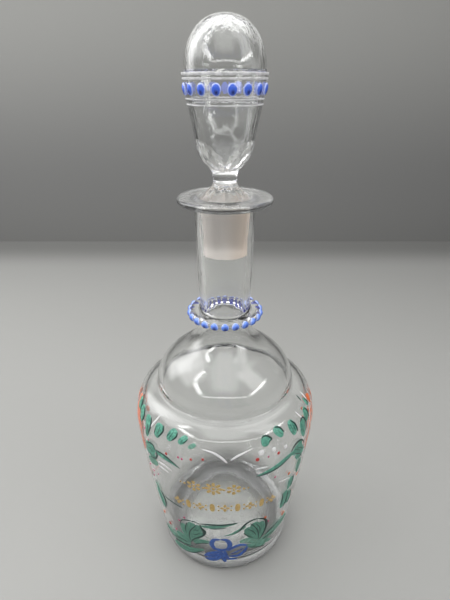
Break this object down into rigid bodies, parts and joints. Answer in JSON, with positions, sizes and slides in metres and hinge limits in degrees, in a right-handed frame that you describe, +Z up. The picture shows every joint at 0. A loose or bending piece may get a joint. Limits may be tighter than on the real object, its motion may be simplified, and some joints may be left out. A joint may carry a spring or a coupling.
{
  "type": "glass carafe with stopper",
  "caption": "Clear glass carafe with a round shoulder, domed bulb, slim neck with a beaded ring and flat lip, closed by a hollow lift-out stopper.",
  "frame": {"origin": "centre of the standing ring under the foot, on the table", "axes": "+Z up the axis of the bottle, towards the stopper"},
  "size_m": [0.11, 0.11, 0.316],
  "materials": {
    "clear_glass": "clear, fire-polished, hand blown",
    "ground_glass": "frosted, ground",
    "blue_enamel": "raised glossy enamel with pale rims",
    "green_enamel": "brushed satin enamel",
    "white_enamel": "thin satin enamel",
    "red_enamel": "brushed satin enamel",
    "gold_enamel": "worn gilding"
  },
  "bodies": {
    "bottle": {"bottle": "clear_glass", "neck_ring": "clear_glass", "ring_bead_01": "blue_enamel", "ring_bead_02": "blue_enamel", "ring_bead_03": "blue_enamel", "ring_bead_04": "blue_enamel", "ring_bead_05": "blue_enamel", "ring_bead_06": "blue_enamel", "ring_bead_07": "blue_enamel", "ring_bead_08": "blue_enamel", "ring_bead_09": "blue_enamel", "ring_bead_10": "blue_enamel", "ring_bead_11": "blue_enamel", "ring_bead_12": "blue_enamel", "ring_bead_13": "blue_enamel", "ring_bead_14": "blue_enamel", "ring_bead_15": "blue_enamel", "ring_bead_16": "blue_enamel", "ring_bead_17": "blue_enamel", "ring_bead_18": "blue_enamel", "ring_bead_19": "blue_enamel", "ring_bead_20": "blue_enamel", "ring_bead_21": "blue_enamel", "ring_bead_22": "blue_enamel"},
    "stopper": {"stopper_plug": "ground_glass", "stopper_bowl": "clear_glass", "bowl_bead_01": "blue_enamel", "bowl_bead_02": "blue_enamel", "bowl_bead_03": "blue_enamel", "bowl_bead_04": "blue_enamel", "bowl_bead_05": "blue_enamel", "bowl_bead_06": "blue_enamel", "bowl_bead_07": "blue_enamel", "bowl_bead_08": "blue_enamel", "bowl_bead_09": "blue_enamel", "bowl_bead_10": "blue_enamel", "bowl_bead_11": "blue_enamel", "bowl_bead_12": "blue_enamel", "bowl_bead_13": "blue_enamel", "bowl_bead_14": "blue_enamel", "bowl_bead_15": "blue_enamel", "bowl_bead_16": "blue_enamel", "bowl_bead_17": "blue_enamel"}
  },
  "joints": [
    {"name": "stopper_lift", "type": "slide", "parent": "bottle", "child": "stopper", "axis": [0, 0, 1], "range_m": [0, 0.08]}
  ]
}
